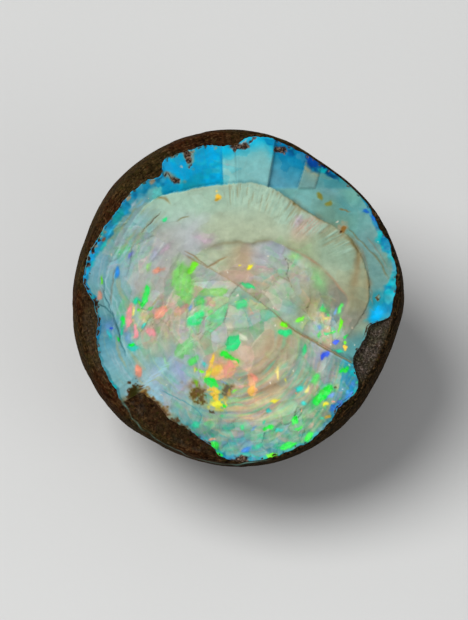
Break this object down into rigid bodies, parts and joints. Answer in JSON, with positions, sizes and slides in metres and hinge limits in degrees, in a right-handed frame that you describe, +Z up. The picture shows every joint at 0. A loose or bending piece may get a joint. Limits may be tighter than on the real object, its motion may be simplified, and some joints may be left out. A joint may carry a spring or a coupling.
{
  "type": "rough opal",
  "caption": "Rounded ironstone nodule broken open to show its milky blue-edged precious opal core with green and orange flashes, resting on its rounded back.",
  "frame": {"origin": "centre of the stone's box, on the surface it rests on, which is the level of the small flat foot on its rounded back", "axes": "+Z up; the broken opal face looks up and towards -Y, 28 degrees away from straight up; +X is to the right for someone who looks at the face from the -Y side"},
  "size_m": [0.0503, 0.0499, 0.0391],
  "materials": {
    "ironstone": "dark brown ironstone, fine-layered and matt on the broken rim, with a granular grey-brown patch and one thin pale opal vein",
    "opal": "milky translucent precious opal with a glassy broken surface, blue towards the rind, pale green, cream and pink inside, with bright green, lime, orange and blue flashes and brown-stained cracks"
  },
  "bodies": {
    "root": {"ironstone_rind": "ironstone", "opal_core": "opal"}
  },
  "joints": []
}
